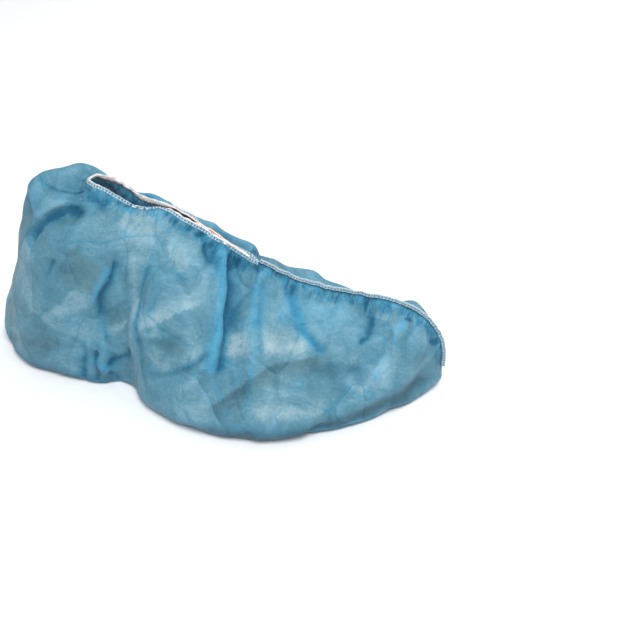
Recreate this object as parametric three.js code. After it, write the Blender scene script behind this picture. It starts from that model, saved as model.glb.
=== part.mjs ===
// A disposable overshoe cover in its worn shape: one folded sheet of blue non-woven fabric, closed over the
// toes by a raised bound seam, and drawn in over the instep by a stitched elastic opening.
// Millimetres, +Z up, +X from the heel to the toe, -Y the outer side of the foot (a right foot).
// The cover stands on its flat sole, with the origin under the middle of its bounding box.
import * as THREE from "three";
import { mergeVertices } from "three/addons/utils/BufferGeometryUtils.js";

// ---- driving dimensions -------------------------------------------------------------------------------
const WALL = 1.2; // fabric wall
const GAP = 0.35; // air between neighbouring pieces
const RIBS = 56; // ribs on each side, from the heel to the toe
const SEAM_RIB = 34; // the rib where the opening ends and the toe seam starts
const SOLE_STEPS = 3; // steps of a rib across the sole
const WALL_STEPS = 15; // steps of a rib up the wall
const LEAST_LIP = 0.5; // a lower lip than this has no step of its own
const LIP_LEAN = 0.5; // how far out the lip's foot stands, as a share of its height
const FOLD_FADE = 12; // how fast the folds fade in from the wall's two edges
const ROUND_STOPS = 96; // steps of the edging and the elastic round the opening
const ROUND_SIDES = 8; // sides of the edging's round section
const ROUND_STEP = 0.01; // between the points that their route passes through, as a share of along
const PLAN_STEP = 0.01; // each way, to find the opening's direction in plan, as a share of along
const FRONT_ALONG = 0.5; // past here the route may turn round
const FRONT_RADIUS = 1.1; // half the width that it keeps at its front end
const HEEL_FAN_X = 44; // the heel's ribs fan out from here
const TOE_FAN_X = 258; // and the toe's ribs from here

const EDGING_RADIUS = 1.15; // thread-bound edge of the opening
const ELASTIC_HEIGHT = 3.2; // flat elastic inside the opening's lip
const ELASTIC_THICKNESS = 1.0;
const FIN_LIFT = 0.6; // toe seam's foot, above the ridge that it stands on
const FIN_HEIGHT = 3.2; // toe seam's edge, above the ridge
const FIN_THICKNESS = 2.0;

// The sole's edge on the floor. along runs from 0 at the heel's back to 1 at the toe's tip, and outer and
// inner are the distances from the foot's axis to the two edges.
const SOLE = [
  { along: 0.0, x: -1, outer: 0, inner: 0 },
  { along: 0.05, x: 4, outer: 16, inner: 15 },
  { along: 0.1, x: 14, outer: 27, inner: 26 },
  { along: 0.16, x: 30, outer: 36.5, inner: 35 },
  { along: 0.24, x: 53, outer: 43, inner: 40 },
  { along: 0.32, x: 79, outer: 44, inner: 40 },
  { along: 0.4, x: 103, outer: 42, inner: 37 },
  { along: 0.46, x: 119, outer: 58, inner: 37 },
  { along: 0.54, x: 147, outer: 73, inner: 40 },
  { along: 0.64, x: 185, outer: 77, inner: 45 },
  { along: 0.74, x: 224, outer: 68, inner: 46 },
  { along: 0.82, x: 254, outer: 52, inner: 41 },
  { along: 0.9, x: 281, outer: 26, inner: 32 },
  { along: 0.95, x: 294, outer: 8, inner: 22 },
  { along: 1.0, x: 300, outer: -8, inner: 8 },
];
// The top line: the edge of the opening, then the ridge under the toe seam, down to the front of the sole.
// gape is half the opening's width and lip is the height of its upright edge.
const TOP = [
  { along: 0.0, x: 70.5, y: 0, z: 129, gape: 0, lip: 2.5 },
  { along: 0.03, x: 71.5, y: 0, z: 129.2, gape: 3.6, lip: 2.5 },
  { along: 0.08, x: 76, y: 0, z: 129.2, gape: 6.3, lip: 3 },
  { along: 0.14, x: 84, y: 0, z: 128, gape: 7.2, lip: 4 },
  { along: 0.22, x: 96, y: 0, z: 124, gape: 6.6, lip: 4 },
  { along: 0.29, x: 108, y: 0, z: 121.5, gape: 4.8, lip: 4 },
  { along: 0.35, x: 119, y: 0, z: 121, gape: 3.4, lip: 4 },
  { along: 0.41, x: 132, y: 0, z: 115.5, gape: 4.2, lip: 4 },
  { along: 0.47, x: 146, y: 0, z: 107, gape: 3.5, lip: 4 },
  { along: 0.53, x: 162, y: 0, z: 97.5, gape: 3.6, lip: 4 },
  { along: 0.59, x: 179, y: 0, z: 87.5, gape: 3.3, lip: 2.5 },
  { along: 0.607, x: 184, y: 0, z: 84.5, gape: 0, lip: 0 },
  { along: 0.66, x: 200, y: 0, z: 78.5, gape: 0, lip: 0 },
  { along: 0.74, x: 224, y: 1, z: 72, gape: 0, lip: 0 },
  { along: 0.82, x: 252, y: 2, z: 69, gape: 0, lip: 0 },
  { along: 0.88, x: 275, y: 4, z: 65, gape: 0, lip: 0 },
  { along: 0.92, x: 290, y: 5, z: 57, gape: 0, lip: 0 },
  { along: 0.95, x: 299, y: 6, z: 46, gape: 0, lip: 0 },
  { along: 0.975, x: 304, y: 7, z: 33, gape: 0, lip: 0 },
  { along: 1.0, x: 303, y: 8, z: 16, gape: 0, lip: 0 },
];
// How the walls rise between the two. They swell past the sole's edge at the height belly, stand out by
// fullness half-way up, and bend over at a shoulder, whose place is a share of the way in and of the way up
// to the top line.
const WALLS = [
  { along: 0.0, swell: 6, belly: 11, fullness: -2, inward: 0.47, outerUp: 0.98, innerUp: 0.98 },
  { along: 0.1, swell: 6, belly: 14, fullness: 0, inward: 0.5, outerUp: 0.95, innerUp: 1.03 },
  { along: 0.18, swell: 5, belly: 16, fullness: 1, inward: 0.46, outerUp: 0.9, innerUp: 1.03 },
  { along: 0.28, swell: 4, belly: 17, fullness: 2, inward: 0.45, outerUp: 0.86, innerUp: 0.96 },
  { along: 0.4, swell: 3, belly: 18, fullness: 2, inward: 0.45, outerUp: 0.84, innerUp: 1.04 },
  { along: 0.54, swell: 4, belly: 14, fullness: 1, inward: 0.46, outerUp: 0.78, innerUp: 1.03 },
  { along: 0.66, swell: 5, belly: 13, fullness: 0, inward: 0.48, outerUp: 0.76, innerUp: 0.86 },
  { along: 0.82, swell: 5, belly: 13, fullness: 0, inward: 0.48, outerUp: 0.8, innerUp: 0.84 },
  { along: 0.92, swell: 5, belly: 12, fullness: 0, inward: 0.42, outerUp: 0.8, innerUp: 0.82 },
  { along: 1.0, swell: 4, belly: 7, fullness: 0, inward: 0.3, outerUp: 0.6, innerUp: 0.6 },
];
// The main folds: a ridge (height above 0) or a groove (height below 0) along a wall. Its route is a few
// places [along, up], where up is the share of the way up the wall, and spread is its half width.
const OUTER = -1;
const INNER = 1;
const FOLDS = [
  { side: OUTER, route: [[0.53, 0.96], [0.565, 0.72], [0.605, 0.4]], spread: 6, height: 2.5 },
  { side: OUTER, route: [[0.555, 0.93], [0.585, 0.72], [0.625, 0.42]], spread: 6, height: -4 },
  { side: OUTER, route: [[0.61, 0.95], [0.68, 0.1]], spread: 6.5, height: 1.8 },
  { side: OUTER, route: [[0.355, 0.92], [0.43, 0.58], [0.45, 0.05]], spread: 8.5, height: 2.5 },
  { side: OUTER, route: [[0.478, 0.95], [0.445, 0.81], [0.436, 0.59]], spread: 6, height: 1.5 },
  { side: OUTER, route: [[0.34, 0.66], [0.31, 0.36]], spread: 6, height: -3 },
  { side: OUTER, route: [[0.01, 0.8], [0.04, 0.95]], spread: 6, height: -3 },
  { side: OUTER, route: [[0.12, 0.6], [0.14, 0.7], [0.16, 0.79]], spread: 6.5, height: -4 },
  { side: OUTER, route: [[0.08, 0.86], [0.13, 0.84]], spread: 6.5, height: 2 },
  { side: OUTER, route: [[0.115, 0.9], [0.17, 0.88]], spread: 6, height: -2 },
  { side: OUTER, route: [[0.33, 0.06], [0.35, 0.24]], spread: 6, height: 2.5 },
  { side: OUTER, route: [[0.37, 0.05], [0.38, 0.22]], spread: 6, height: -3 },
  { side: OUTER, route: [[0.41, 0.24], [0.43, 0.1]], spread: 6, height: -2.5 },
  { side: OUTER, route: [[0.69, 0.92], [0.78, 0.58], [0.81, 0.35]], spread: 8.5, height: -2 },
  { side: OUTER, route: [[0.895, 0.83], [0.845, 0.29]], spread: 7.5, height: 2 },
  { side: OUTER, route: [[0.83, 0.94], [0.845, 0.73]], spread: 6, height: -2 },
  { side: INNER, route: [[0.14, 0.93], [0.1, 0.6]], spread: 7.5, height: -3 },
  { side: INNER, route: [[0.3, 0.93], [0.34, 0.4]], spread: 7.5, height: -3 },
  { side: INNER, route: [[0.42, 0.95], [0.44, 0.2]], spread: 7.5, height: 2.5 },
  { side: INNER, route: [[0.5, 0.95], [0.55, 0.4]], spread: 7.5, height: -3 },
  { side: INNER, route: [[0.66, 0.9], [0.7, 0.3]], spread: 8.5, height: 2 },
  { side: INNER, route: [[0.88, 0.9], [0.82, 0.4]], spread: 7.5, height: -2 },
];

const COLOURS = { fabric: 0x70adcd, thread: 0xdfe7ea, elastic: 0xe6d3cb };

// ---- reading the tables -------------------------------------------------------------------------------
// Every column of a table at a place along the foot, on a smooth curve through the rows.
function columnsAt(table, along) {
  let low = 0;
  while (low < table.length - 2 && table[low + 1].along < along) low += 1;
  const a = table[low];
  const b = table[low + 1];
  const before = table[Math.max(low - 1, 0)];
  const after = table[Math.min(low + 2, table.length - 1)];
  const span = b.along - a.along;
  const t = (along - a.along) / span;
  const result = {};
  for (const column of Object.keys(a)) {
    const slopeA = (span * (b[column] - before[column])) / (b.along - before.along);
    const slopeB = (span * (after[column] - a[column])) / (after.along - a.along);
    const rise = b[column] - a[column];
    const bend = t * t * (3 - 2 * t);
    result[column] =
      a[column] + rise * bend + slopeA * t * (1 - t) * (1 - t) - slopeB * t * t * (1 - t);
  }
  return result;
}

// ---- the shell's surface ------------------------------------------------------------------------------
function topPoint(side, along) {
  const top = columnsAt(TOP, along);
  return new THREE.Vector3(top.x, top.y + side * Math.max(top.gape, 0), top.z);
}

// Which way is out of the opening, in plan, on one side of it.
function outOfOpening(side, along) {
  const ahead = topPoint(side, Math.min(along + PLAN_STEP, 1));
  const behind = along < PLAN_STEP ? topPoint(-side, PLAN_STEP) : topPoint(side, along - PLAN_STEP);
  const run = ahead.sub(behind);
  return new THREE.Vector3(side * -run.y, side * run.x, 0).normalize();
}

// One rib from the middle of the sole, round its edge and up the wall to the top line.
function ribPoints(side, along) {
  const sole = columnsAt(SOLE, along);
  const wall = columnsAt(WALLS, along);
  const { lip } = columnsAt(TOP, along);
  const edge = new THREE.Vector3(sole.x, side < 0 ? -sole.outer : sole.inner, 0);
  const middle = new THREE.Vector3(THREE.MathUtils.clamp(sole.x, HEEL_FAN_X, TOE_FAN_X), 0, 0);
  const out = edge.clone().sub(middle).normalize();
  const belly = edge.clone().addScaledVector(out, wall.swell).setZ(wall.belly);
  const top = topPoint(side, along);
  const neck = top.clone().setZ(top.z - lip);
  neck.addScaledVector(outOfOpening(side, along), LIP_LEAN * lip);
  const shoulder = belly.clone().lerp(neck, wall.inward);
  shoulder.z = THREE.MathUtils.lerp(belly.z, neck.z, side < 0 ? wall.outerUp : wall.innerUp);
  const halfway = belly.clone().lerp(shoulder, 0.5).addScaledVector(out, wall.fullness);
  const corners = [edge, belly, halfway, shoulder, neck];
  const curve = new THREE.CatmullRomCurve3(corners, false, "centripetal");
  const points = [];
  for (let i = 0; i < SOLE_STEPS; i += 1) points.push(middle.clone().lerp(edge, i / SOLE_STEPS));
  const hasLip = lip > LEAST_LIP;
  points.push(...curve.getSpacedPoints(hasLip ? WALL_STEPS - 1 : WALL_STEPS));
  if (hasLip) points.push(top);
  return points;
}

// A place on a plain wall, by its shares of the way along the foot and up the wall.
function wallPlace(side, along, up) {
  const points = ribPoints(side, along).slice(SOLE_STEPS);
  const at = up * WALL_STEPS;
  const low = Math.min(Math.floor(at), WALL_STEPS - 1);
  return points[low].clone().lerp(points[low + 1], at - low);
}
const foldLines = FOLDS.map((fold) => {
  const places = fold.route.map(([along, up]) => wallPlace(fold.side, along, up));
  return { ...fold, lines: places.slice(1).map((place, i) => new THREE.Line3(places[i], place)) };
});

// How far the folds push a point of the wall out.
function foldPush(side, point) {
  const nearest = new THREE.Vector3();
  let push = 0;
  for (const fold of foldLines) {
    if (fold.side !== side) continue;
    const gaps = fold.lines.map((line) => line.closestPointToPoint(point, true, nearest).distanceTo(point));
    push += fold.height * Math.exp(-((Math.min(...gaps) / fold.spread) ** 2));
  }
  return push;
}

// ---- meshes -------------------------------------------------------------------------------------------
// Collects triangles whose corners are THREE.Vector3, and merges them into one closed geometry.
class Skin {
  constructor() {
    this.corners = [];
  }
  triangle(a, b, c) {
    if (a.equals(b) || b.equals(c) || c.equals(a)) return;
    this.corners.push(a.x, a.y, a.z, b.x, b.y, b.z, c.x, c.y, c.z);
  }
  quad(a, b, c, d) {
    this.triangle(a, b, c);
    this.triangle(a, c, d);
  }
  geometry() {
    const positions = new THREE.Float32BufferAttribute(this.corners, 3);
    const merged = mergeVertices(new THREE.BufferGeometry().setAttribute("position", positions));
    merged.computeVertexNormals();
    return merged;
  }
}

// Both sides' ribs, as two grids of points; the two sides share their first and last ribs.
function outerGrids() {
  const grids = { [OUTER]: [], [INNER]: [] };
  for (let rib = 0; rib <= RIBS; rib += 1) {
    for (const side of [OUTER, INNER]) {
      const shared = rib === 0 || rib === RIBS;
      grids[side].push(shared && side === INNER ? grids[OUTER][rib] : ribPoints(side, rib / RIBS));
    }
    if (rib >= SEAM_RIB) grids[INNER][rib][SOLE_STEPS + WALL_STEPS] = grids[OUTER][rib].at(-1);
  }
  return grids;
}

function eachQuad(grids, draw) {
  for (const side of [OUTER, INNER]) {
    for (let rib = 0; rib < RIBS; rib += 1) {
      for (let step = 0; step < SOLE_STEPS + WALL_STEPS; step += 1) {
        const [here, next] = [grids[side][rib], grids[side][rib + 1]];
        const corners = [here[step], next[step], next[step + 1], here[step + 1]];
        draw(side === OUTER ? corners : corners.reverse());
      }
    }
  }
}

// The outward normal at each grid point: the mean over the faces round it. Points at the same place, on the
// two sides' common lines, share it.
function normalsOf(grids) {
  const key = (p) => `${p.x.toFixed(3)},${p.y.toFixed(3)},${p.z.toFixed(3)}`;
  const sums = new Map();
  eachQuad(grids, ([a, b, c, d]) => {
    const face = c.clone().sub(a).cross(d.clone().sub(b));
    for (const p of [a, b, c, d]) {
      if (!sums.has(key(p))) sums.set(key(p), new THREE.Vector3());
      sums.get(key(p)).add(face);
    }
  });
  for (const sum of sums.values()) sum.normalize();
  return (p) => sums.get(key(p));
}

function movedGrids(grids, moved) {
  const result = { [OUTER]: [], [INNER]: [] };
  for (const side of [OUTER, INNER])
    for (const points of grids[side])
      result[side].push(points.map((p, step) => moved(p, side, step)));
  return result;
}

// Pushes the walls out and in along the folds, which fade out at the sole's edge and at the top line.
function foldedGrids(plain) {
  const normal = normalsOf(plain);
  return movedGrids(plain, (p, side, step) => {
    const up = (step - SOLE_STEPS) / WALL_STEPS;
    if (up <= 0 || up >= 1) return p.clone();
    const onBothSides = p === plain[OUTER][0][step] || p === plain[OUTER][RIBS][step];
    const push = onBothSides ? foldPush(OUTER, p) : foldPush(side, p);
    return p.clone().addScaledVector(normal(p), push * Math.min(1, FOLD_FADE * up * (1 - up)));
  });
}

function coverShell(outer) {
  const normal = normalsOf(outer);
  const inner = movedGrids(outer, (p) => p.clone().addScaledVector(normal(p), -WALL));
  const skin = new Skin();
  eachQuad(outer, ([a, b, c, d]) => skin.quad(a, b, c, d));
  eachQuad(inner, ([a, b, c, d]) => skin.quad(d, c, b, a));
  for (const side of [OUTER, INNER]) {
    for (let rib = 0; rib < SEAM_RIB; rib += 1) {
      const corners = [
        outer[side][rib].at(-1),
        outer[side][rib + 1].at(-1),
        inner[side][rib + 1].at(-1),
        inner[side][rib].at(-1),
      ];
      skin.quad(...(side === OUTER ? corners : corners.reverse()));
    }
  }
  return skin.geometry();
}

// Sweeps a section along a route. Each stop of the route has a place and the directions of the section's
// two axes, with across x up pointing along the route; a closed route joins its last stop to its first.
function sweep(stops, section, closed) {
  const skin = new Skin();
  const rings = stops.map(({ place, across, up }) =>
    section.map(([u, v]) => place.clone().addScaledVector(across, u).addScaledVector(up, v)),
  );
  const last = closed ? rings.length : rings.length - 1;
  const sides = section.length;
  for (let i = 0; i < last; i += 1) {
    const [here, next] = [rings[i], rings[(i + 1) % rings.length]];
    for (let j = 0; j < sides; j += 1) {
      const k = (j + 1) % sides;
      skin.quad(here[j], here[k], next[k], next[j]);
    }
  }
  if (!closed) {
    for (let j = 1; j < sides - 1; j += 1) {
      skin.triangle(rings[0][0], rings[0][j + 1], rings[0][j]);
      skin.triangle(rings.at(-1)[0], rings.at(-1)[j], rings.at(-1)[j + 1]);
    }
  }
  return skin.geometry();
}

// Stops round the opening, set in from the lip's outer face and up from its edge. The points of one side stop
// where the opening narrows, so that the curve through both sides rounds its front end off.
function roundOpening(inset, rise) {
  const points = { [OUTER]: [], [INNER]: [] };
  for (const side of [OUTER, INNER]) {
    for (let along = ROUND_STEP; along < SEAM_RIB / RIBS; along += ROUND_STEP) {
      if (along > FRONT_ALONG && columnsAt(TOP, along).gape < inset + FRONT_RADIUS) break;
      const place = topPoint(side, along).addScaledVector(outOfOpening(side, along), -inset);
      points[side].push(place.setZ(place.z + rise));
    }
  }
  const rear = topPoint(OUTER, 0).add(new THREE.Vector3(inset, 0, rise));
  const route = new THREE.CatmullRomCurve3(
    [rear, ...points[INNER], ...points[OUTER].reverse()],
    true,
    "centripetal",
  );
  return route.getSpacedPoints(ROUND_STOPS).slice(0, ROUND_STOPS).map((place, i) => {
    const along = route.getTangentAt(i / ROUND_STOPS);
    const across = new THREE.Vector3(-along.y, along.x, 0).normalize();
    return { place, across, up: along.clone().cross(across) };
  });
}

function openingEdging() {
  const section = [];
  for (let j = 0; j < ROUND_SIDES; j += 1) {
    const turn = (2 * Math.PI * j) / ROUND_SIDES;
    section.push([EDGING_RADIUS * Math.cos(turn), EDGING_RADIUS * Math.sin(turn)]);
  }
  return sweep(roundOpening(WALL / 2, GAP + EDGING_RADIUS), section, true);
}

function openingElastic() {
  const inset = WALL + GAP + ELASTIC_THICKNESS / 2;
  const [u, v] = [ELASTIC_THICKNESS / 2, ELASTIC_HEIGHT / 2];
  const section = [[-u, -v], [u, -v], [u, v], [-u, v]];
  return sweep(roundOpening(inset, -v - GAP), section, true);
}

function toeSeam(outer) {
  const ridge = outer[OUTER].slice(SEAM_RIB).map((points) => points.at(-1));
  const route = new THREE.CatmullRomCurve3(ridge, false, "centripetal");
  const [u, v] = [FIN_THICKNESS / 2, FIN_HEIGHT];
  const section = [[-u, FIN_LIFT], [u, FIN_LIFT], [u, v], [-u, v]];
  const stops = ridge.map((place, i) => {
    const along = route.getTangent(i / (ridge.length - 1));
    const across = new THREE.Vector3(0, 1, 0).addScaledVector(along, -along.y).normalize();
    return { place, across, up: along.clone().cross(across) };
  });
  return sweep(stops, section, false);
}

// ---- the assembly -------------------------------------------------------------------------------------
const plastic = (color, roughness) => new THREE.MeshStandardMaterial({ color, roughness, metalness: 0 });
const fabric = plastic(COLOURS.fabric, 0.75);
const thread = plastic(COLOURS.thread, 0.6);
const elastic = plastic(COLOURS.elastic, 0.7);

const outer = foldedGrids(outerGrids());
const pieces = [
  ["cover_shell", coverShell(outer), fabric],
  ["opening_elastic", openingElastic(), elastic],
  ["opening_edging", openingEdging(), thread],
  ["toe_seam", toeSeam(outer), thread],
];
const cover = new THREE.Group();
for (const [name, geometry, material] of pieces) {
  const mesh = new THREE.Mesh(geometry, material);
  mesh.name = name;
  cover.add(mesh);
}
const box = new THREE.Box3().setFromObject(cover);
const centre = box.getCenter(new THREE.Vector3());
cover.position.set(-centre.x, -centre.y, -box.min.z);

export default cover;
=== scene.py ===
"""A disposable overshoe cover, worn into the shape of a right shoe.

The cover is one sheet of light blue spunbond polypropylene, about 0.35 mm thick. A flat elastic is sewn
inside the lip of its opening, the opening's edge is overlocked with white thread, and a raised overlocked
seam closes the fabric over the toes. Sizes are in metres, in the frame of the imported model: +X to the toe
and +Z up.
"""

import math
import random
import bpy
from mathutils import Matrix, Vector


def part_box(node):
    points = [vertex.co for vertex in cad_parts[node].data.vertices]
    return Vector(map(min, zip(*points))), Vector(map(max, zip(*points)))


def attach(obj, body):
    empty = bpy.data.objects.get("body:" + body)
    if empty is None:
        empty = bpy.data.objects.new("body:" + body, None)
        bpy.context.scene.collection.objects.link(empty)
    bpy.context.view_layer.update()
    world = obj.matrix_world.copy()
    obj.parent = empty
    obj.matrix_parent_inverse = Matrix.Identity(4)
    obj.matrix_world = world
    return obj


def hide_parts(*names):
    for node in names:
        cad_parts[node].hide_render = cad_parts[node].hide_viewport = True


bl_info = {
    "name": "Overshoe Cover",
    "version": (1, 0, 0),
    "blender": (4, 5, 0),
    "location": "3D View > Sidebar > Overshoe",
    "description": "Builds a worn overshoe cover with its creased fabric, elastic and overlocked seams",
    "category": "Add Mesh",
}

import bmesh
import bpy
import numpy as np
from bpy.props import FloatProperty, FloatVectorProperty, PointerProperty
from mathutils import Vector, noise
from mathutils.bvhtree import BVHTree
from mathutils.kdtree import KDTree

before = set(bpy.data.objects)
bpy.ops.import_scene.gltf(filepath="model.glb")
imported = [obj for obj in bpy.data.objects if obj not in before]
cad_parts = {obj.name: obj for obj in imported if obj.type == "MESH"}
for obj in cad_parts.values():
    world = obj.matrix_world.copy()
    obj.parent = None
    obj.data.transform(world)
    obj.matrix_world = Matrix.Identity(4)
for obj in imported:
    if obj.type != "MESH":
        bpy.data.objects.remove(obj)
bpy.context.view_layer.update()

MM = 0.001
BODY = "root"
HEEL_SWELL = 7  # mm that the fabric stands out behind the sole's heel end
SEED = 7
CLOTH_BENDING = 2.0  # how stiffly the cloth bends as it settles
CLOTH_SPARE = (-0.02, -0.06)  # how much it shrinks: below 0 it grows, the more the nearer to the top line
CLOTH_FRAMES = 25
CLOTH_DRIFT = 5  # mm that a point of it may move
SEAM_HEIGHT = 3.0  # mm that the toe seam stands up from the fabric
BUNCHED = (112, 126)  # mm along the foot, between which the elastic starts to be bunched up

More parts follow.
